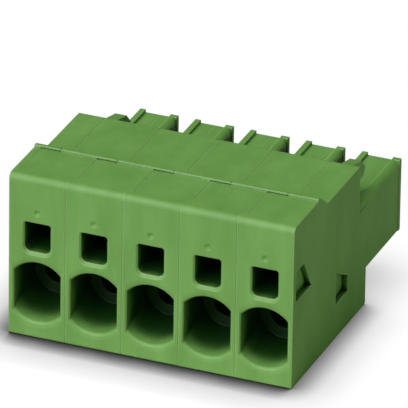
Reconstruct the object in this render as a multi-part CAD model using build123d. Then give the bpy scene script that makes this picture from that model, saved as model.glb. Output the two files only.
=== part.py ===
"""Five-pole pluggable terminal block with spring-cage clamps, in millimetres.

Five tray-shaped housing modules stand side by side and a cover closes the left end.
Each tray is open on its left and is closed by the laps of the piece beside it.
Inside every module a folded contact carries the clamp spring and runs back into the plug finger.
X runs along the row, Y from the conductor side back to the plug side, and Z up.
A module is drawn from its own left end, front face and foot, and then placed in the row.
"""
from build123d import *

import os

# Row
poles = 5
pitch = 7.62

# Conductor funnels, from the foot of the front face up
funnel_sill = 1.42
funnel_mouth = 8.26
funnel_lip = 0.73
funnel_lip_depth = 0.35
funnel_side = 0.66
flat_lip = 0.2
funnel_throat = 6.4
guide_bore = 3.6
guide_length = 2.2

# Release shafts over the funnels, each with a dimple over it
shaft_gap = 0.36
shaft_width = 3.5
shaft_height = 4.1
shaft_top_bevel = 0.2
shaft_bottom_round = 0.8
shaft_lip = 0.25
shaft_lip_sag = 0.15
dimple_gap = 1.4
dimple_width = 1.0
dimple_depth = 0.3

# Side outline of the housing
brow = 6.3
face_round = 0.9
ridge_depth = 8.0
ridge_rise = 0.3
ridge_land = 0.6
ridge_bevel = 0.12
step_run = 2.7
step_drop = 1.7
block_depth = 9.2
chamber_depth = 12.05
back_wall = 1.1
wall_lean = 0.3
base_step = 2.95
foot_chamfer = 0.2

# Walls of the trays
front_wall = 1.2
roof = 1.1
floor = 1.1
partition = 1.1
shaft_roof = 1.4

# Laps over the next module, the clearance that they are fitted with, and the parting lines
lid = 0.9
lid_setback = 1.6
top_lap = 3.55
seam_gap = 0.03
seam_groove = 0.07
ridge_slot = 0.18
ridge_notch = 0.14

# Clamp springs
spring_sheet = 0.5
spring_side = 0.21
leg_rail = 0.7
leg_tip = 1.2
leg_gap = 1.6
window_head = 1.2
loop_gap = 1.2
loop_flat = 0.55
loop_rise = 1.2
loop_round = 2.7
loop_ease = 0.1
shoulder_round = 0.9
post_room = 0.75

# Contacts
bar_thickness = 0.8
bar_air = 0.32
bar_rim = 0.4
tongue_run = 3.7
tongue_flare = 0.5
tongue_gap = 0.1
tongue_seat = 0.4
bar_margin = 0.25
bar_bend = 1.5
bar_landing = 0.3
socket_height = 5.6
socket_sheet = 0.7
socket_gap = 1.3
socket_nip = 0.7
socket_flare = 0.5
arm_nose = 2.0
arm_rounds = [1.5, 1.0]

# Clips round the contact sockets
clip_sheet = 0.3
clip_gap = 0.03
clip_lead = 0.5
clip_stop = 0.15
clip_roof = 3.6

# Plug fingers
finger_bottom = 5.0
finger_reach = 11.95
finger_wall = 0.8
finger_skin = 1.0
finger_round = 1.0
finger_collar = 0.7
finger_relief = 0.1
socket_room = 0.12
socket_air = 1.2
rail_setback = 3.0
rib_height = 0.4
left_rib = 0.75
right_rib = 1.0
pin_slot_margin = 0.25
pin_slot_inset = 0.6
pin_slot_lead = 0.5

# Pockets that take the pegs of the next module
pocket_depth = 0.8
peg_reach = 0.5
peg_gap = 0.05
front_pocket_start = 0.95
front_pocket_sink = 0.2
front_pocket_length = 5.2
front_pocket_height = 4.2
front_pocket_slant = 2.45
rear_pocket_setback = 5.6
rear_pocket_bottom = 4.8
rear_pocket_length = 4.2
rear_pocket_height = 4.4
rear_pocket_back = 2.2

# Latch nibs on the first and the last module
nib_width = 1.55
nib_reach = 3.4
nib_sink = 0.1
nib_drop = 0.9
nib_nose = 1.4
nib_hook = 0.7
nib_hook_drop = 1.1
nib_height = 3.2
nib_inset = 1.1

# Length by which a cutter runs out past the surface that it cuts
clear = 1.0

# Places along the row
row_width = poles * pitch
pole_centre = pitch / 2
cavity_right = pitch - partition
finger_right = pitch - finger_relief
finger_width = socket_gap + 2 * (socket_sheet + clip_gap + clip_sheet + socket_room + finger_wall)
finger_left = finger_right - finger_width
finger_split = finger_left + finger_width / 2

# Heights
funnel_rim = funnel_mouth / 2 + funnel_lip
funnel_height = funnel_sill + funnel_rim
shaft_bottom = funnel_height + funnel_rim + shaft_gap + shaft_lip_sag + shaft_lip
shaft_top = shaft_bottom + shaft_height
dimple_height = shaft_top + dimple_gap
head_floor = shaft_top + shaft_roof
face_height = shaft_top + brow
ridge_top = face_height + ridge_rise
rear_height = face_height - step_drop
finger_height = socket_height + 2 * (finger_skin + socket_air)
finger_top = finger_bottom + finger_height
finger_channel = finger_top - rib_height
pin_centre = finger_bottom + finger_height / 2
socket_floor = pin_centre - socket_height / 2
bar_bottom = funnel_height + guide_bore / 2 + bar_air
bar_top = bar_bottom + bar_thickness
loop_foot = bar_top + spring_sheet / 2
loop_top = loop_foot + 2 * loop_round + loop_flat

# Depths
funnel_depth = block_depth - guide_length
step_end = ridge_depth + ridge_land + step_run
cavity_back = block_depth + chamber_depth
upper_depth = cavity_back + back_wall
base_depth = upper_depth + base_step
finger_end = base_depth + finger_reach
foot_start = block_depth + tongue_run
leg = foot_start - leg_gap
loop_back = cavity_back - loop_gap - spring_sheet / 2
socket_start = cavity_back - bar_margin
arm_end = finger_end - finger_skin - socket_flare
rear_pocket_start = block_depth + rear_pocket_setback

# Widths of the inner pieces
spring_width = 2 * (cavity_right - pole_centre - spring_side)
window_width = spring_width - 2 * leg_rail
tongue_width = window_width - 2 * tongue_gap
bar_width = spring_width - 2 * bar_rim
socket_half = socket_gap / 2 + socket_sheet


def block(x, y, z):
    """Box between the two values given along each axis."""
    size = [b - a for a, b in (x, y, z)]
    return Pos(x[0], y[0], z[0]) * Box(*size, align=(Align.MIN, Align.MIN, Align.MIN))


def side_plate(outline, x):
    """Side outline of (depth, height) points, as a plate between two places along the row."""
    face = make_face(Plane.YZ * Polyline(*outline, close=True))
    return Pos(x[0], 0, 0) * extrude(face, x[1] - x[0], dir=(1, 0, 0))


def strip(points, radii, sheet):
    """Edge-on section of a bent strip with square ends, about its centre line."""
    return trace(FilletPolyline(*points, radius=radii), sheet)


def outer_outline():
    """Side outline of the housing without the plug fingers, as a face."""
    outline = Polyline(
        (foot_chamfer, 0),
        (base_depth - foot_chamfer, 0),
        (base_depth, foot_chamfer),
        (base_depth, finger_top),
        (upper_depth + wall_lean, finger_top),
        (upper_depth, rear_height),
        (step_end, rear_height),
        (ridge_depth + ridge_land, ridge_top),
        (ridge_depth, ridge_top),
        (ridge_depth, face_height),
        (0, face_height),
        (0, foot_chamfer),
        close=True,
    )
    face = make_face(outline)
    crown = face.vertices().group_by(Axis.X)[0].sort_by(Axis.Y)[-1]
    face = fillet(crown, face_round)
    return chamfer(face.vertices().group_by(Axis.Y)[-1], ridge_bevel)


def cavity_outline(shrink=0):
    """Side outline of the space inside a tray, drawn in by an allowance."""
    back = base_depth - back_wall - shrink
    ceiling = rear_height - roof - shrink
    head = face_height - roof - shrink
    finger_ceiling = finger_top - finger_skin - shrink
    return [
        (block_depth + shrink, floor + shrink),
        (back, floor + shrink),
        (back, finger_ceiling),
        (cavity_back - shrink, finger_ceiling),
        (cavity_back - shrink, ceiling),
        (step_end - roof / 2 - shrink, ceiling),
        (ridge_depth + ridge_land - shrink, head),
        (front_wall + shrink, head),
        (front_wall + shrink, head_floor + shrink),
        (block_depth + shrink, head_floor + shrink),
    ]


def lap_zones(grow=0):
    """Room over a module that the laps of the piece on its left take up."""
    high = ridge_top + clear
    plan = Polyline(
        (-clear, face_round - grow),
        (grow, face_round - grow),
        (lid + grow, lid_setback - grow),
        (lid + grow, ridge_depth),
        (-clear, ridge_depth),
        close=True,
    )
    low = face_height - roof
    top_front = Pos(0, 0, low) * extrude(make_face(plan), high - low)
    top_rear = block(
        (-clear, top_lap + grow),
        (ridge_depth - grow, base_depth + clear),
        (finger_top, high),
    )
    bulkhead = block(
        (-clear, finger_split + grow),
        (cavity_back - grow, finger_end + clear),
        (finger_bottom - grow, finger_top + clear),
    )
    return top_front + top_rear + bulkhead


def finger():
    """Hollow plug finger of one pole, with its two ribs and its pin slot."""
    body = block((finger_left, pitch), (cavity_back, finger_end), (finger_bottom, finger_top))
    body -= block(
        (finger_left + left_rib, finger_right - right_rib),
        (upper_depth, finger_end + clear),
        (finger_channel, finger_top + clear),
    )
    body -= block(
        (finger_left + finger_wall, finger_right - finger_wall),
        (cavity_back, finger_end - finger_skin),
        (finger_bottom + finger_skin, finger_top - finger_skin),
    )
    width = socket_gap + 2 * pin_slot_margin
    height = socket_height - 2 * pin_slot_inset
    slot = Plane.XZ * Pos(finger_split, pin_centre) * Rectangle(width, height)
    through = Pos(0, finger_end, 0) * extrude(slot, 2 * finger_skin, both=True)
    mouth = offset(slot, pin_slot_lead, kind=Kind.INTERSECTION)
    lead = Pos(0, finger_end, 0) * extrude(mouth, pin_slot_lead, dir=(0, -1, 0), taper=45)
    return body - through - lead


def finger_shoulder():
    """What is cut from the right side of a finger, short of its collar: a relief and a round upper edge."""
    start = upper_depth + wall_lean
    high = finger_top + clear
    collar = finger_end - finger_collar
    side = block((finger_right, pitch + clear), (base_depth, collar), (finger_bottom, high))
    x = finger_right - finger_round
    z = finger_top - finger_round
    corner = block((x, pitch + clear), (start, collar), (z, high))
    rounding = Pos(x, start, z) * extrude(Plane.XZ * Circle(finger_round), finger_end - start, dir=(0, 1, 0))
    return side + (corner - rounding)


def finger_rails():
    """Rails on the right half of a finger that the contact socket rests between."""
    x = (finger_split + seam_gap, finger_right - finger_wall)
    y = (base_depth, finger_end - rail_setback)
    low = block(x, y, (finger_bottom + finger_skin, socket_floor))
    high = block(x, y, (socket_floor + socket_height + clip_sheet, finger_top - finger_skin))
    return low + high


def finger_hollow():
    """Space that opens the tray into the plug finger behind it."""
    return block(
        (finger_left + finger_wall, finger_right - finger_wall),
        (cavity_back, base_depth),
        (finger_bottom + finger_skin, finger_top - finger_skin),
    )


def laps():
    """Lid, roof lap and left finger half that a piece carries over the module on its right."""
    ring = extrude(Plane.YZ * outer_outline(), finger_split, dir=(1, 0, 0))
    ring -= side_plate(cavity_outline(), (lid, finger_split))
    plate = side_plate(cavity_outline(seam_gap), (0, lid))
    ring -= plate
    plate -= rear_peg(lid - peg_reach - seam_gap, lid + clear, 0)
    left_half = finger() & block((0, finger_split), (0, finger_end), (0, ridge_top))
    return (ring & lap_zones()) - finger_hollow() + plate + left_half


def funnel():
    """Round conductor funnel with two flats and an eased lip, stepping down to the guide bore."""
    mouth = funnel_mouth / 2
    swell = 0.3
    section = Polyline(
        (0, -clear),
        (funnel_rim, -clear),
        (funnel_rim, 0),
        (mouth + funnel_lip * swell, funnel_lip_depth * swell),
        (mouth, funnel_lip_depth),
        (funnel_throat / 2, funnel_depth),
        (0, funnel_depth),
        close=True,
    )
    bowl = revolve(make_face(section), Axis.Y)
    half = pitch / 2 - funnel_side
    flats = Polyline(
        (-half - flat_lip, -clear),
        (half + flat_lip, -clear),
        (half + flat_lip, 0),
        (half, flat_lip),
        (half, funnel_depth),
        (-half, funnel_depth),
        (-half, flat_lip),
        (-half - flat_lip, 0),
        close=True,
    )
    bowl &= Pos(0, 0, -funnel_mouth) * extrude(make_face(flats), funnel_mouth * 2)
    guide = Plane.XZ * extrude(Circle(guide_bore / 2), -block_depth - clear)
    return Pos(pole_centre, 0, funnel_height) * (bowl + guide)


def release_shaft():
    """Square shaft for the release tool, rounder at its lower corners, with an eased rim."""
    middle = shaft_bottom + shaft_height / 2
    outline = Plane.XZ * Pos(pole_centre, middle) * Rectangle(shaft_width, shaft_height)
    outline = fillet(outline.vertices().sort_by(Axis.Z)[:2], shaft_bottom_round)
    outline = chamfer(outline.vertices().sort_by(Axis.Z)[-2:], shaft_top_bevel)
    shaft = extrude(outline, block_depth + clear, dir=(0, 1, 0))
    rim = extrude(offset(outline, shaft_lip), shaft_lip, dir=(0, 1, 0), taper=45)
    return shaft + Pos(0, 0, -shaft_lip_sag) * rim


def dimple():
    """Small coned dimple over the release shaft."""
    cone = Cone(dimple_width / 2, 0, dimple_depth, align=(Align.CENTER, Align.CENTER, Align.MIN))
    return Pos(pole_centre, 0, dimple_height) * Rot(-90, 0, 0) * cone


def front_peg(x0, x1, gap):
    """Slanted four-sided peg, or the pocket for it, beside the release shaft."""
    y = front_pocket_start + gap
    z = shaft_bottom - front_pocket_sink + gap
    back = y + front_pocket_length - 2 * gap
    top = z + front_pocket_height - 2 * gap
    return side_plate([(y, z), (back, z), (back - front_pocket_slant, top), (y, top)], (x0, x1))


def rear_outline(gap):
    """Side outline of the rear pocket, with its sloping top."""
    y = rear_pocket_start + gap
    z = rear_pocket_bottom + gap
    back = y + rear_pocket_length - 2 * gap
    top = z + rear_pocket_height - 2 * gap
    return [(y, z), (back, z), (back, z + rear_pocket_back - gap), (y, top)]


def rear_peg(x0, x1, gap):
    """Wire stop with the rear pocket's outline, kept under the current bar."""
    whole = side_plate(rear_outline(gap), (x0, x1))
    return whole & block((x0, x1), (0, base_depth), (0, bar_bottom))


def nib(x):
    """Latch nib that leans out and down from the rear edge of the roof."""
    root = upper_depth - back_wall / 2
    end = upper_depth + nib_reach
    top = rear_height - nib_drop
    outline = [
        (root, rear_height - nib_sink),
        (upper_depth, rear_height - nib_sink),
        (end, top),
        (end + nib_nose, top - nib_nose),
        (end + nib_nose - nib_hook, top - nib_nose - nib_hook_drop),
        (root, rear_height - nib_height),
    ]
    return side_plate(outline, (x, x + nib_width))


def seam_grooves(x):
    """Cutters for the parting lines that start at one place along the row."""
    jog_run = ridge_depth - lid_setback
    roof_run = upper_depth - step_end
    front = Pos(x, 0, 0) * Rot(0, 0, 45) * Box(seam_groove, seam_groove, 2 * face_height)
    jog = Rot(0, 45, 0) * Box(seam_groove, jog_run, seam_groove)
    rear = Rot(0, 45, 0) * Box(seam_groove, roof_run, seam_groove)
    slot = Rot(45, 0, 0) * Box(top_lap - lid, ridge_slot, ridge_slot)
    notch = Rot(0, 45, 0) * Box(ridge_notch, ridge_land, ridge_notch)
    return [
        front,
        Pos(x + lid, lid_setback + jog_run / 2, face_height) * jog,
        Pos(x + top_lap, step_end + roof_run / 2, rear_height) * rear,
        Pos(x + (lid + top_lap) / 2, ridge_depth, face_height) * slot,
        Pos(x + top_lap, ridge_depth + ridge_land / 2, ridge_top) * notch,
    ]


def spring_post():
    """Eight-sided post inside the spring's loop, between the lid and the partition."""
    middle = (loop_back - loop_round, loop_foot + loop_round)
    radius = loop_round - spring_sheet / 2 - post_room
    face = Plane.YZ * Pos(*middle) * RegularPolygon(radius, 8)
    start = 2 * lid
    return Pos(start, 0, 0) * extrude(face, cavity_right - start, dir=(1, 0, 0))


def housing(index):
    """Housing module of one pole, from its place in the row."""
    first, last = index == 0, index == poles - 1
    half_tongue = tongue_width / 2 + peg_gap
    body = extrude(Plane.YZ * outer_outline(), pitch, dir=(1, 0, 0))
    body -= side_plate(cavity_outline(), (0, cavity_right))
    body -= finger_hollow()
    body -= lap_zones(seam_gap)
    body -= funnel()
    body -= release_shaft()
    body -= dimple()
    body -= block(
        (pole_centre - half_tongue, pole_centre + half_tongue),
        (block_depth - tongue_seat, block_depth),
        (bar_bottom, bar_top),
    )
    right_half = block((finger_split + seam_gap, pitch), (0, finger_end), (0, ridge_top))
    body += finger() & right_half
    body += finger_rails()
    body += rear_peg(lid + seam_gap, cavity_right, 0)
    body += rear_peg(lid - peg_reach + peg_gap, lid + seam_gap, peg_gap)
    body += spring_post()
    if last:
        body -= front_peg(pitch - pocket_depth, pitch + clear, 0)
        body -= side_plate(rear_outline(0), (pitch - pocket_depth, pitch + clear))
        body -= finger_shoulder()
        body += nib(pitch - nib_inset - nib_width)
    else:
        body -= finger_shoulder()
        body += Pos(pitch, 0, 0) * laps()
        body -= front_peg(pitch - peg_reach - peg_gap, pitch + clear, 0)
    if first:
        body += nib(top_lap + seam_gap)
    else:
        body += front_peg(-peg_reach, 0, peg_gap)
    for x in [0] if last else [0, pitch]:
        for cut in seam_grooves(x):
            body -= cut
    return body


def left_cover():
    """Cover that closes the left end with the same laps that every module carries."""
    body = laps()
    for cut in seam_grooves(0):
        body -= cut
    return body


def contact():
    """Folded contact: clamp tongue, current bar and the two arms of its plug socket."""
    start = block_depth - tongue_seat
    bend = socket_start - bar_bend
    drop = [
        (start, bar_bottom + bar_thickness / 2),
        (bend, bar_bottom + bar_thickness / 2),
        (socket_start + bar_landing, socket_floor + bar_thickness / 2),
        (base_depth, socket_floor + bar_thickness / 2),
    ]
    section = Plane.YZ * strip(drop, bar_thickness, bar_thickness)
    sheet = extrude(section, pitch, dir=(1, 0, 0))
    right = [
        (pole_centre + tongue_width / 2, start),
        (pole_centre + tongue_width / 2, foot_start),
        (pole_centre + bar_width / 2, foot_start + tongue_flare),
        (pole_centre + bar_width / 2, bend),
        (finger_split + socket_half, socket_start),
        (finger_split + socket_half, base_depth),
    ]
    left = [
        (finger_split - socket_half, base_depth),
        (finger_split - socket_half, socket_start),
        (pole_centre - bar_width / 2, bend),
        (pole_centre - bar_width / 2, foot_start + tongue_flare),
        (pole_centre - tongue_width / 2, foot_start),
        (pole_centre - tongue_width / 2, start),
    ]
    body = sheet & extrude(make_face(Polyline(*right, *left, close=True)), face_height)
    for side in (-1, 1):
        arm = extrude(strip(arm_line(side, 0), arm_rounds, socket_sheet), socket_height)
        body += Pos(finger_split, 0, socket_floor) * arm
    return body


def arm_line(side, out):
    """Centre line of one socket arm, or of a piece lying a given distance outside it."""
    root = socket_gap / 2 + socket_sheet / 2 + out
    nip = socket_nip / 2 + socket_sheet / 2 + out
    return [
        (side * root, socket_start),
        (side * root, base_depth),
        (side * nip, arm_end - arm_nose),
        (side * (nip + socket_flare), arm_end),
    ]


def clamp_spring():
    """Cage spring: foot on the bar, loop behind, and a windowed leg down through the bar."""
    line = [
        (foot_start, loop_foot),
        (loop_back, loop_foot),
        (loop_back, loop_top),
        (leg, loop_top - loop_rise),
        (leg, bar_bottom - leg_tip),
    ]
    section = Plane.YZ * strip(line, [loop_round, loop_round - loop_ease, shoulder_round], spring_sheet)
    body = Pos(pole_centre - spring_width / 2, 0, 0) * extrude(section, spring_width, dir=(1, 0, 0))
    x = (pole_centre - window_width / 2, pole_centre + window_width / 2)
    window = block(x, (leg - spring_sheet, leg + spring_sheet), (bar_bottom, loop_top - loop_rise - window_head))
    return body - window


def socket_clip():
    """Steel clip that sits over the socket and presses its arms together."""
    out = socket_sheet / 2 + clip_sheet / 2 + clip_gap
    top = socket_floor + socket_height
    start = base_depth - clip_lead
    reach = (start, arm_end - arm_nose - clip_stop)
    half = socket_half + clip_gap + clip_sheet
    window = block((-half, half), reach, (socket_floor, top + clip_sheet))
    body = block((-half, half), (start, start + clip_roof), (top, top + clip_sheet))
    for side in (-1, 1):
        wall = extrude(strip(arm_line(side, out), arm_rounds, clip_sheet), socket_height + clip_sheet)
        body += Pos(0, 0, socket_floor) * wall & window
    return Pos(finger_split, 0, 0) * body


def write(name, shape, index):
    """Place a piece in the row, about the middle of the block's footprint, and write it."""
    placed = Pos(index * pitch - row_width / 2, -finger_end / 2, 0) * shape
    placed.label = name
    export_step(placed, f"parts/{name}.step")


def main():
    os.makedirs("parts", exist_ok=True)
    write("left_cover", left_cover(), 0)
    inner_pieces = {
        "contact": contact(),
        "clamp_spring": clamp_spring(),
        "socket_clip": socket_clip(),
    }
    for index in range(poles):
        number = index + 1
        write(f"housing_{number}", housing(index), index)
        for name, shape in inner_pieces.items():
            write(f"{name}_{number}", shape, index)


main()
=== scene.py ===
"""Studio scene of the five-pole pluggable terminal block, laid out as an add-on.

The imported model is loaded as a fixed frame, so every place here is in metres in the part's own frame.
One operator for each group of like pieces gives them their finish, and one more sets up the stage.
"""
import math

import bpy
from mathutils import Matrix, Vector

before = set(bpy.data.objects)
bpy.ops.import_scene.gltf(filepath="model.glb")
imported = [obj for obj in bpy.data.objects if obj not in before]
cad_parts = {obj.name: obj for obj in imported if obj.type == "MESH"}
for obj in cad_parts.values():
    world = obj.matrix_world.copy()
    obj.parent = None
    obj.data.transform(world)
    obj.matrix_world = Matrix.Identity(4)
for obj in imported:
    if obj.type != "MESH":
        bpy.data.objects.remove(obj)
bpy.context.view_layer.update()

bl_info = {
    "name": "Terminal Block Studio",
    "version": (1, 0, 0),
    "blender": (4, 5, 0),
    "location": "3D View > Sidebar > Terminal Block",
    "description": "Finishes the pieces of a pluggable terminal block and lights them on a pale floor",
    "category": "Object",
}

MM = 0.001
WHITE = (1, 1, 1, 1)

# Housing: typical index of polyamide, and how far the grain varies the roughness
POLYAMIDE_IOR = 1.53
GRAIN_SPREAD = 0.06
# How the flow clouds are scaled along the row, front to back and up, and the part of the noise that is kept
FLOW_STRETCH = (1, 0.6, 0.25)
CLOUD_LOW = 0.3
CLOUD_HIGH = 0.7
# Cosine between the rounded and the flat normal, where an edge's painted highlight starts and is brightest
HIGHLIGHT_STARTS = 0.985
HIGHLIGHT_FULL = 0.8
# Share of open room round an edge: under it no painted highlight, over it the edge stands free and takes it
# all
EDGE_HEMMED_IN = 0.6
EDGE_FREE = 0.9
# How far round an edge that room is looked for, in edge radii
EDGE_REACH = 4
# Share of open room in a recess, where its painted shade starts and where it is darkest
PAINTED_SHADE_STARTS = 0.6
PAINTED_SHADE_FULL = 0.33

# Contacts: brightness of the darker crystals, and how far the crystals vary the roughness
CRYSTAL_SHADE = 0.88
CRYSTAL_SPREAD = 0.08

# Springs: scale of the roll lines along the strip against across it, their relief, and how far they vary
# the roughness
ROLL_STRETCH = 0.02
ROLL_RELIEF = 0.001 * MM
ROLL_SPREAD = 0.1

# Floor: spacing and relief of the stipple that the paint roller leaves
STIPPLE = 2.5 * MM
STIPPLE_RELIEF = 0.01 * MM

# Camera: sensor width in millimetres and the reach of the view in metres
SENSOR_WIDTH = 36
VIEW_START = 0.01
VIEW_END = 100


def linear(hex_colour):
    """Linear red, green and blue of an sRGB hex colour."""
    channels = [int(hex_colour[i : i + 2], 16) / 255 for i in (1, 3, 5)]
    return tuple(c / 12.92 if c <= 0.04045 else ((c + 0.055) / 1.055) ** 2.4 for c in channels)


class MouldedHousingFinish(bpy.types.PropertyGroup):
    """Finish of the green modules and the cover."""

    colour: bpy.props.FloatVectorProperty(
        name="Colour",
        description="Colour that the polyamide is dyed through",
        subtype="COLOR",
        size=3,
        min=0,
        max=1,
        default=linear("#73A551"),
    )
    shade: bpy.props.FloatVectorProperty(
        name="Flow shade",
        description="Slightly deeper green where the melt flowed last",
        subtype="COLOR",
        size=3,
        min=0,
        max=1,
        default=linear("#679845"),
    )
    roughness: bpy.props.FloatProperty(
        name="Roughness",
        description="How far the spark-eroded surface scatters a reflection",
        subtype="FACTOR",
        min=0,
        max=1,
        default=0.42,
    )
    cloud: bpy.props.FloatProperty(
        name="Flow cloud",
        description="Size of the soft clouds that the melt leaves in the colour, drawn out along the flow",
        unit="LENGTH",
        default=3 * MM,
    )
    grit: bpy.props.FloatProperty(
        name="Grit",
        description="Spacing of the spark-eroded grain, drawn coarser than it is so that it shows",
        unit="LENGTH",
        default=0.3 * MM,
    )
    relief: bpy.props.FloatProperty(
        name="Relief",
        description="Height of the grain",
        unit="LENGTH",
        default=0.006 * MM,
    )
    mirror: bpy.props.FloatProperty(
        name="Mirror",
        description="How strongly the skin mirrors its surroundings, held low for the matt grain",
        subtype="FACTOR",
        min=0,
        max=1,
        default=0.3,
    )
    # Painted highlight: a paler green mixed in on the edges that stand out, in place of the light they catch
    painted_highlight_colour: bpy.props.FloatVectorProperty(
        name="Edge colour",
        description="Paler green of the corners that stand out, polished by handling",
        subtype="COLOR",
        size=3,
        min=0,
        max=1,
        default=linear("#A2CB80"),
    )
    # Painted shade: a dark green mixed in deep in the funnels, shafts and slots, where little light reaches
    painted_shade_colour: bpy.props.FloatVectorProperty(
        name="Recess colour",
        description="Deeper green of the smooth walls far back in the funnels and shafts",
        subtype="COLOR",
        size=3,
        min=0,
        max=1,
        default=linear("#133A0D"),
    )
    # Reach of the look for close walls that sets the painted shade in recesses
    recess: bpy.props.FloatProperty(
        name="Recess",
        description="How near the walls of a recess stand to each other",
        unit="LENGTH",
        default=8 * MM,
    )
    edge_round: bpy.props.FloatProperty(
        name="Edge round",
        description="Radius of the mould's edges, which catch a thin line of light",
        unit="LENGTH",
        default=0.26 * MM,
    )


class ContactFinish(bpy.types.PropertyGroup):
    """Finish of the folded contacts."""

    colour: bpy.props.FloatVectorProperty(
        name="Tin",
        description="Colour of the matt tin plating",
        subtype="COLOR",
        size=3,
        min=0,
        max=1,
        default=linear("#C9C8C2"),
    )
    roughness: bpy.props.FloatProperty(
        name="Roughness",
        description="Scatter of the matt plating",
        subtype="FACTOR",
        min=0,
        max=1,
        default=0.42,
    )
    crystal: bpy.props.FloatProperty(
        name="Crystal size",
        description="Size of the crystals that cloud the tin",
        unit="LENGTH",
        default=0.5 * MM,
    )


class SpringSteelFinish(bpy.types.PropertyGroup):
    """Finish of the cage springs and the socket clips."""

    colour: bpy.props.FloatVectorProperty(
        name="Steel",
        description="Colour of rolled stainless steel",
        subtype="COLOR",
        size=3,
        min=0,
        max=1,
        default=linear("#BDBAB4"),
    )
    roughness: bpy.props.FloatProperty(
        name="Roughness",
        description="Scatter of the rolled surface",
        subtype="FACTOR",
        min=0,
        max=1,
        default=0.28,
    )
    roll_line: bpy.props.FloatProperty(
        name="Roll line",
        description="Spacing of the lines that the rolls leave, drawn coarser so that they show",
        unit="LENGTH",
        default=0.08 * MM,
    )


class StageSettings(bpy.types.PropertyGroup):
    """Floor, light and camera."""

    floor_colour: bpy.props.FloatVectorProperty(
        name="Floor",
        description="Colour of the plain floor",
        subtype="COLOR",
        size=3,
        min=0,
        max=1,
        default=linear("#F2F1E2"),
    )
    mirrored_floor: bpy.props.FloatVectorProperty(
        name="Mirrored floor",
        description="Colour of the floor in reflections, dimmed to keep haze off the side faces",
        subtype="COLOR",
        size=3,
        min=0,
        max=1,
        default=linear("#6A6A68"),
    )
    floor_white: bpy.props.FloatProperty(
        name="Floor white",
        description="How far the floor is plain white for the camera, with only the soft shadow at the foot",
        subtype="FACTOR",
        min=0,
        max=1,
        default=1.0,
    )
    shadow_depth: bpy.props.FloatProperty(
        name="Shadow depth",
        description="How dark the soft shadow at the foot of the part is",
        min=0,
        default=1.2,
    )
    shadow_lean: bpy.props.FloatVectorProperty(
        name="Shadow lean",
        description="Direction that the soft shadow takes its light from, which leans to the back",
        subtype="XYZ",
        default=(0.1, 0.5, 1.0),
    )
    contact_shadow: bpy.props.FloatProperty(
        name="Contact shadow",
        description="How far the soft shadow reaches from the foot of the part",
        unit="LENGTH",
        default=8 * MM,
    )
    foot_depth: bpy.props.FloatProperty(
        name="Foot depth",
        description="How dark the narrow core of the shadow is, close to the edge of the part",
        min=0,
        default=1.8,
    )
    foot_shadow: bpy.props.FloatProperty(
        name="Foot shadow",
        description="How far the narrow core of the shadow reaches",
        unit="LENGTH",
        default=3.5 * MM,
    )
    floor_size: bpy.props.FloatProperty(
        name="Floor size",
        description="Width of the floor",
        unit="LENGTH",
        default=6,
    )
    ambient: bpy.props.FloatProperty(
        name="Ambient",
        description="Strength of the even light from all round",
        min=0,
        default=0.15,
    )
    ambient_colour: bpy.props.FloatVectorProperty(
        name="Ambient colour",
        description="Colour of the even light, which the walls of the room send back",
        subtype="COLOR",
        size=3,
        min=0,
        max=1,
        default=linear("#D7FFD3"),
    )
    key: bpy.props.FloatProperty(
        name="Key light",
        description="Irradiance of the soft key light over the front of the part",
        min=0,
        default=2.38,
    )
    key_colour: bpy.props.FloatVectorProperty(
        name="Key colour",
        description="Colour of the key light",
        subtype="COLOR",
        size=3,
        min=0,
        max=1,
        default=linear("#FFFAFC"),
    )
    key_azimuth: bpy.props.FloatProperty(
        name="Key azimuth",
        description="Where the key light stands round the part, from the front towards its right",
        unit="ROTATION",
        default=math.radians(-20),
    )
    key_elevation: bpy.props.FloatProperty(
        name="Key elevation",
        description="Height of the key light over the floor",
        unit="ROTATION",
        default=math.radians(60),
    )
    fill: bpy.props.FloatProperty(
        name="Fill light",
        description="Irradiance of the low fill light on the left",
        min=0,
        default=1.44,
    )
    fill_colour: bpy.props.FloatVectorProperty(
        name="Fill colour",
        description="Colour of the fill light, a little cooler than the key light",
        subtype="COLOR",
        size=3,
        min=0,
        max=1,
        default=linear("#D4CAFF"),
    )
    fill_azimuth: bpy.props.FloatProperty(
        name="Fill azimuth",
        description="Where the fill light stands round the part, from the front towards its right",
        unit="ROTATION",
        default=math.radians(-32),
    )
    fill_elevation: bpy.props.FloatProperty(
        name="Fill elevation",
        description="Height of the fill light over the floor",
        unit="ROTATION",
        default=math.radians(24),
    )
    softness: bpy.props.FloatProperty(
        name="Softness",
        description="Angle that each light spans, seen from the part",
        unit="ROTATION",
        default=math.radians(55),
    )
    azimuth: bpy.props.FloatProperty(
        name="Camera azimuth",
        description="Where the camera stands round the part, from the front towards its right",
        unit="ROTATION",
        default=math.radians(21.70),
    )
    elevation: bpy.props.FloatProperty(
        name="Camera elevation",
        description="Height of the camera over the floor",
        unit="ROTATION",
        default=math.radians(26.73),
    )
    roll: bpy.props.FloatProperty(
        name="Camera roll",
        description="Tilt of the camera about its own line of sight",
        unit="ROTATION",
        default=math.radians(0.92),
    )
    distance: bpy.props.FloatProperty(
        name="Camera distance",
        description="From the camera to the point that it looks at",
        unit="LENGTH",
        default=1.074,
    )
    lens: bpy.props.FloatProperty(
        name="Lens",
        description="Focal length on a sensor 36 mm wide",
        unit="CAMERA",
        default=754.7,
    )
    aim: bpy.props.FloatVectorProperty(
        name="Aim",
        description="Point that the camera looks at",
        subtype="XYZ",
        unit="LENGTH",
        default=(-0.207 * MM, -0.401 * MM, 13.41 * MM),
    )


def add_node(tree, kind, settings=None, **links):
    """Adds a node. Settings go to its sockets by name or number, or to its own properties.

    Each link is socket=output, with an underscore for each space in the socket's name.
    """
    node = tree.nodes.new(kind)
    for key, value in (settings or {}).items():
        if isinstance(key, str) and hasattr(node, key):
            setattr(node, key, value)
        else:
            node.inputs[key].default_value = value
    for name, output in links.items():
        key = int(name[1:]) if name[1:].isdigit() else name.replace("_", " ")
        tree.links.new(output, node.inputs[key])
    return node


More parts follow.
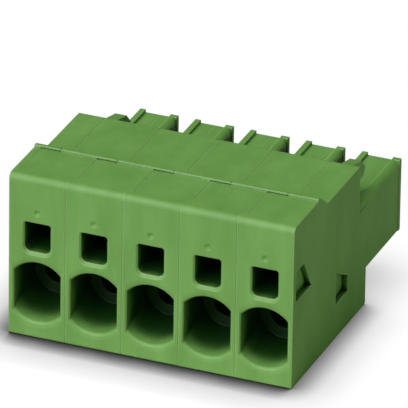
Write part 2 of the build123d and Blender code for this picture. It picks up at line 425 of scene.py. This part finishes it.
def new_material(name, shown_as):
    """Empty node material, with the plain colour that the solid view shows."""
    material = bpy.data.materials.new(name)
    material.use_nodes = True
    material.node_tree.nodes.clear()
    material.diffuse_color = (*shown_as, 1)
    return material, material.node_tree


def dress(nodes, material):
    """Puts one material on the CAD nodes and leaves their meshes alone."""
    for node in nodes:
        slots = node.data.materials
        slots.clear()
        slots.append(material)


def nodes_named(*stems):
    """CAD nodes whose names start with one of the stems, which have to be there."""
    found = [node for name, node in sorted(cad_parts.items()) if name.startswith(stems)]
    if not found:
        raise RuntimeError(f"the frame has no node named {stems}")
    return found


def painted_edge_highlight(tree, rounded, finish):
    """Mask of the painted highlight: corners where the rounded normal turns away and nothing is close by."""
    surface = add_node(tree, "ShaderNodeNewGeometry")
    turn = add_node(
        tree,
        "ShaderNodeVectorMath",
        {"operation": "DOT_PRODUCT"},
        i0=rounded.outputs["Normal"],
        i1=surface.outputs["True Normal"],
    )
    edge = add_node(
        tree,
        "ShaderNodeMapRange",
        {"From Min": HIGHLIGHT_STARTS, "From Max": HIGHLIGHT_FULL},
        Value=turn.outputs["Value"],
    )
    room = add_node(
        tree,
        "ShaderNodeAmbientOcclusion",
        {"samples": 4, "Distance": EDGE_REACH * finish.edge_round},
    )
    free = add_node(
        tree,
        "ShaderNodeMapRange",
        {"From Min": EDGE_HEMMED_IN, "From Max": EDGE_FREE},
        Value=room.outputs["AO"],
    )
    both = add_node(
        tree,
        "ShaderNodeMath",
        {"operation": "MULTIPLY"},
        i0=edge.outputs["Result"],
        i1=free.outputs["Result"],
    )
    return both.outputs[0]


def painted_recess_shade(tree, finish):
    """Mask of painted shade by how far a place lies back in a funnel, shaft or slot: 0 in the open, 1 deep
    inside.
    """
    room = add_node(
        tree,
        "ShaderNodeAmbientOcclusion",
        {"samples": 8, "only_local": True, "Distance": finish.recess},
    )
    depth = add_node(
        tree,
        "ShaderNodeMapRange",
        {
            "interpolation_type": "SMOOTHSTEP",
            "From Min": PAINTED_SHADE_STARTS,
            "From Max": PAINTED_SHADE_FULL,
        },
        Value=room.outputs["AO"],
    )
    return depth.outputs["Result"]


def moulded_polyamide(finish):
    """Polyamide 6.6, dyed through and injection moulded in a spark-eroded mould."""
    # To the eye it is an even, matt mid green. Soft clouds show in the colour where the melt flowed, and the
    # grain breaks the gloss into a dull sheen. The small radii of the mould catch thin lines of light: the
    # rounded normals give part of them, and a paler green on the standing edges is a painted highlight. Deep
    # in the funnels, shafts and slots a darker green is painted shade. The real grain is too fine to show,
    # so it is drawn about ten times coarser.
    material, tree = new_material("moulded_polyamide_green", finish.colour)
    place = add_node(tree, "ShaderNodeTexCoord").outputs["Object"]
    flow = add_node(tree, "ShaderNodeMapping", {"Scale": FLOW_STRETCH}, Vector=place)
    cloud = add_node(
        tree,
        "ShaderNodeTexNoise",
        {"Scale": 1 / finish.cloud, "Detail": 3.0, "Roughness": 0.6},
        Vector=flow.outputs["Vector"],
    )
    cloud = add_node(
        tree,
        "ShaderNodeMapRange",
        {"From Min": CLOUD_LOW, "From Max": CLOUD_HIGH},
        Value=cloud.outputs["Fac"],
    )
    grain = add_node(
        tree,
        "ShaderNodeTexNoise",
        {"Scale": 1 / finish.grit, "Detail": 2.0, "Roughness": 0.6},
        Vector=place,
    )
    clouded = add_node(
        tree,
        "ShaderNodeMix",
        {"data_type": "RGBA", 6: (*finish.shade, 1), 7: (*finish.colour, 1)},
        i0=cloud.outputs["Result"],
    )
    gloss = add_node(
        tree,
        "ShaderNodeMapRange",
        {"To Min": finish.roughness - GRAIN_SPREAD, "To Max": finish.roughness + GRAIN_SPREAD},
        Value=grain.outputs["Fac"],
    )
    rounded = add_node(tree, "ShaderNodeBevel", {"samples": 6, "Radius": finish.edge_round})
    # Painted highlight: paler green on the standing edges
    edge_highlighted = add_node(
        tree,
        "ShaderNodeMix",
        {"data_type": "RGBA", 7: (*finish.painted_highlight_colour, 1)},
        i0=painted_edge_highlight(tree, rounded, finish),
        i6=clouded.outputs[2],
    )
    # Painted shade: darker green deep in the recesses
    shaded_in_recesses = add_node(
        tree,
        "ShaderNodeMix",
        {"data_type": "RGBA", 7: (*finish.painted_shade_colour, 1)},
        i0=painted_recess_shade(tree, finish),
        i6=edge_highlighted.outputs[2],
    )
    bumps = add_node(
        tree,
        "ShaderNodeBump",
        {"Strength": 1.0, "Distance": finish.relief},
        Height=grain.outputs["Fac"],
        Normal=rounded.outputs["Normal"],
    )
    shader = add_node(
        tree,
        "ShaderNodeBsdfPrincipled",
        {"IOR": POLYAMIDE_IOR, "Specular IOR Level": finish.mirror},
        Base_Color=shaded_in_recesses.outputs[2],
        Roughness=gloss.outputs["Result"],
        Normal=bumps.outputs["Normal"],
    )
    add_node(tree, "ShaderNodeOutputMaterial", Surface=shader.outputs["BSDF"])
    return material


def tin_plated_copper(finish):
    """Copper alloy, stamped, folded and then plated with matt tin."""
    # To the eye it is a soft pale grey metal with faint crystal clouds and no sharp reflection.
    material, tree = new_material("matt_tin_on_copper", finish.colour)
    place = add_node(tree, "ShaderNodeTexCoord").outputs["Object"]
    crystals = add_node(tree, "ShaderNodeTexVoronoi", {"Scale": 1 / finish.crystal}, Vector=place)
    gloss = add_node(
        tree,
        "ShaderNodeMapRange",
        {
            "To Min": finish.roughness - CRYSTAL_SPREAD,
            "To Max": finish.roughness + CRYSTAL_SPREAD,
        },
        Value=crystals.outputs["Distance"],
    )
    shade = [CRYSTAL_SHADE * channel for channel in finish.colour]
    tone = add_node(
        tree,
        "ShaderNodeMix",
        {"data_type": "RGBA", 6: (*shade, 1), 7: (*finish.colour, 1)},
        i0=crystals.outputs["Distance"],
    )
    shader = add_node(
        tree,
        "ShaderNodeBsdfPrincipled",
        {"Metallic": 1.0},
        Base_Color=tone.outputs[2],
        Roughness=gloss.outputs["Result"],
    )
    add_node(tree, "ShaderNodeOutputMaterial", Surface=shader.outputs["BSDF"])
    return material


def rolled_spring_steel(finish):
    """Stainless strip, cold rolled, stamped and bent."""
    # To the eye it is a bright cool metal, with fine lines along the strip that draw its reflections out.
    # The real lines are too fine to show, so they are drawn coarser.
    material, tree = new_material("rolled_stainless_steel", finish.colour)
    place = add_node(tree, "ShaderNodeTexCoord").outputs["Object"]
    across = 1 / finish.roll_line
    along = ROLL_STRETCH / finish.roll_line
    drawn = add_node(tree, "ShaderNodeMapping", {"Scale": (across, along, along)}, Vector=place)
    lines = add_node(
        tree,
        "ShaderNodeTexNoise",
        {"Scale": 1.0, "Detail": 1.0},
        Vector=drawn.outputs["Vector"],
    )
    gloss = add_node(
        tree,
        "ShaderNodeMapRange",
        {"To Min": finish.roughness - ROLL_SPREAD, "To Max": finish.roughness + ROLL_SPREAD},
        Value=lines.outputs["Fac"],
    )
    bumps = add_node(
        tree,
        "ShaderNodeBump",
        {"Strength": 1.0, "Distance": ROLL_RELIEF},
        Height=lines.outputs["Fac"],
    )
    shader = add_node(
        tree,
        "ShaderNodeBsdfPrincipled",
        {"Metallic": 1.0, "Base Color": (*finish.colour, 1)},
        Roughness=gloss.outputs["Result"],
        Normal=bumps.outputs["Normal"],
    )
    add_node(tree, "ShaderNodeOutputMaterial", Surface=shader.outputs["BSDF"])
    return material


def painted_floor(stage):
    """Smooth board, rolled with matt white emulsion paint."""
    # To the eye it is an even white ground with a soft shadow. The lamps light the board for the part, and
    # the camera sees it white, with a painted shadow: the white is darkened by ambient occlusion round the
    # part, in a broad soft part and a narrow dark core.
    material, tree = new_material("matt_white_board", stage.floor_colour)
    path = add_node(tree, "ShaderNodeLightPath")
    place = add_node(tree, "ShaderNodeTexCoord").outputs["Object"]
    roller = add_node(tree, "ShaderNodeTexNoise", {"Scale": 1 / STIPPLE, "Detail": 2.0}, Vector=place)
    stipple = add_node(tree, "ShaderNodeBump", {"Distance": STIPPLE_RELIEF}, Height=roller.outputs["Fac"])
    tone = add_node(
        tree,
        "ShaderNodeMix",
        {"data_type": "RGBA", 6: (*stage.floor_colour, 1), 7: (*stage.mirrored_floor, 1)},
        i0=path.outputs["Is Glossy Ray"],
    )
    board = add_node(
        tree, "ShaderNodeBsdfDiffuse", Color=tone.outputs[2], Normal=stipple.outputs["Normal"]
    )
    # Painted shadow that the camera sees on the floor: white dimmed where the part closes off the room round
    # it
    lean_x, lean_y, lean_z = stage.shadow_lean
    lean = add_node(tree, "ShaderNodeCombineXYZ", {"X": lean_x, "Y": lean_y, "Z": lean_z})
    broad = (stage.contact_shadow, stage.shadow_depth)
    core = (stage.foot_shadow, stage.foot_depth)
    shades = []
    for reach, depth in (broad, core):
        room = add_node(
            tree,
            "ShaderNodeAmbientOcclusion",
            {"samples": 16, "Distance": reach},
            Normal=lean.outputs["Vector"],
        )
        shade = add_node(tree, "ShaderNodeMath", {"operation": "POWER", 1: depth}, i0=room.outputs["AO"])
        shades.append(shade.outputs[0])
    shade = add_node(tree, "ShaderNodeMath", {"operation": "MULTIPLY"}, i0=shades[0], i1=shades[1])
    white = add_node(tree, "ShaderNodeEmission", {"Strength": 1.0}, Color=shade.outputs[0])
    seen = add_node(
        tree,
        "ShaderNodeMath",
        {"operation": "MULTIPLY", 1: stage.floor_white},
        i0=path.outputs["Is Camera Ray"],
    )
    either = add_node(
        tree,
        "ShaderNodeMixShader",
        i0=seen.outputs[0],
        i1=board.outputs[0],
        i2=white.outputs[0],
    )
    add_node(tree, "ShaderNodeOutputMaterial", Surface=either.outputs[0])
    return material


def make_floor(stage):
    """Plain floor under the part."""
    half = stage.floor_size / 2
    mesh = bpy.data.meshes.new("floor")
    corners = [(-half, -half, 0), (half, -half, 0), (half, half, 0), (-half, half, 0)]
    mesh.from_pydata(corners, [], [(0, 1, 2, 3)])
    floor = bpy.data.objects.new("floor", mesh)
    bpy.context.scene.collection.objects.link(floor)
    floor.data.materials.append(painted_floor(stage))


def make_world(stage):
    """White surroundings for the camera, and a weaker even light for everything else."""
    world = bpy.data.worlds.new("studio")
    world.use_nodes = True
    tree = world.node_tree
    tree.nodes.clear()
    path = add_node(tree, "ShaderNodeLightPath")
    seen = add_node(
        tree,
        "ShaderNodeMath",
        {"operation": "MAXIMUM"},
        i0=path.outputs["Is Camera Ray"],
        i1=path.outputs["Is Transmission Ray"],
    )
    even = add_node(
        tree,
        "ShaderNodeBackground",
        {"Color": (*stage.ambient_colour, 1), "Strength": stage.ambient},
    )
    white = add_node(tree, "ShaderNodeBackground", {"Color": WHITE, "Strength": 1.0})
    either = add_node(
        tree,
        "ShaderNodeMixShader",
        i0=seen.outputs[0],
        i1=even.outputs[0],
        i2=white.outputs[0],
    )
    add_node(tree, "ShaderNodeOutputWorld", Surface=either.outputs[0])
    bpy.context.scene.world = world


def direction(azimuth, elevation):
    """Unit vector from the part towards an azimuth and an elevation."""
    flat = math.cos(elevation)
    return Vector((math.sin(azimuth) * flat, -math.cos(azimuth) * flat, math.sin(elevation)))


def make_lamp(name, irradiance, towards, softness, colour):
    """Broad soft lamp that shines evenly on the part and the floor."""
    lamp = bpy.data.lights.new(name, "SUN")
    lamp.color = colour
    lamp.energy = irradiance
    lamp.angle = softness
    light = bpy.data.objects.new(name, lamp)
    light.rotation_euler = towards.to_track_quat("Z", "Y").to_euler()
    light.location = towards
    bpy.context.scene.collection.objects.link(light)


def make_camera(stage):
    """Camera at the photograph's angle, on a long lens."""
    data = bpy.data.cameras.new("camera")
    data.sensor_width = SENSOR_WIDTH
    data.lens = stage.lens
    data.clip_start = VIEW_START
    data.clip_end = VIEW_END
    camera = bpy.data.objects.new("camera", data)
    back = direction(stage.azimuth, stage.elevation)
    right = Vector((math.cos(stage.azimuth), math.sin(stage.azimuth), 0))
    upright = Matrix((right, back.cross(right), back)).transposed()
    turned = Matrix.Rotation(stage.roll, 3, back) @ upright
    camera.matrix_world = Matrix.Translation(Vector(stage.aim) + back * stage.distance) @ turned.to_4x4()
    bpy.context.scene.collection.objects.link(camera)
    bpy.context.scene.camera = camera


class TERMINAL_OT_housings(bpy.types.Operator):
    """Finish the five modules and the left cover as moulded polyamide"""

    bl_idname = "terminal_block.housings"
    bl_label = "Housings"

    def execute(self, context):
        finish = context.scene.terminal_housing
        dress(nodes_named("housing", "left_cover"), moulded_polyamide(finish))
        return {"FINISHED"}


class TERMINAL_OT_contacts(bpy.types.Operator):
    """Finish the folded contacts as tin-plated copper alloy"""

    bl_idname = "terminal_block.contacts"
    bl_label = "Contacts"

    def execute(self, context):
        finish = context.scene.terminal_contact
        dress(nodes_named("contact"), tin_plated_copper(finish))
        return {"FINISHED"}


class TERMINAL_OT_springs(bpy.types.Operator):
    """Finish the cage springs and the socket clips as rolled stainless steel"""

    bl_idname = "terminal_block.springs"
    bl_label = "Springs and clips"

    def execute(self, context):
        finish = context.scene.terminal_spring
        dress(nodes_named("clamp_spring", "socket_clip"), rolled_spring_steel(finish))
        return {"FINISHED"}


class TERMINAL_OT_stage(bpy.types.Operator):
    """Set up the floor, the surroundings, the two lamps and the camera"""

    bl_idname = "terminal_block.stage"
    bl_label = "Stage"

    def execute(self, context):
        stage = context.scene.terminal_stage
        make_floor(stage)
        make_world(stage)
        key_from = direction(stage.key_azimuth, stage.key_elevation)
        make_lamp("key", stage.key, key_from, stage.softness, stage.key_colour)
        fill_from = direction(stage.fill_azimuth, stage.fill_elevation)
        make_lamp("fill", stage.fill, fill_from, stage.softness, stage.fill_colour)
        make_camera(stage)
        context.scene.view_settings.view_transform = "Standard"
        return {"FINISHED"}


OPERATORS = (TERMINAL_OT_housings, TERMINAL_OT_contacts, TERMINAL_OT_springs, TERMINAL_OT_stage)
SETTINGS = {
    "terminal_housing": MouldedHousingFinish,
    "terminal_contact": ContactFinish,
    "terminal_spring": SpringSteelFinish,
    "terminal_stage": StageSettings,
}


class TERMINAL_PT_studio(bpy.types.Panel):
    """Lists the operators, each under the settings that it uses"""

    bl_idname = "TERMINAL_PT_studio"
    bl_label = "Terminal Block"
    bl_space_type = "VIEW_3D"
    bl_region_type = "UI"
    bl_category = "Terminal Block"

    def draw(self, context):
        for operator, name in zip(OPERATORS, SETTINGS):
            box = self.layout.box()
            settings = getattr(context.scene, name)
            for key in settings.bl_rna.properties.keys():
                if key not in ("rna_type", "name"):
                    box.prop(settings, key)
            box.operator(operator.bl_idname)


CLASSES = (*SETTINGS.values(), *OPERATORS, TERMINAL_PT_studio)


def register():
    for cls in CLASSES:
        bpy.utils.register_class(cls)
    for name, group in SETTINGS.items():
        setattr(bpy.types.Scene, name, bpy.props.PointerProperty(type=group))


def unregister():
    for name in SETTINGS:
        delattr(bpy.types.Scene, name)
    for cls in reversed(CLASSES):
        bpy.utils.unregister_class(cls)


def main():
    register()
    bpy.ops.terminal_block.housings()
    bpy.ops.terminal_block.contacts()
    bpy.ops.terminal_block.springs()
    bpy.ops.terminal_block.stage()


if __name__ == "__main__":
    main()
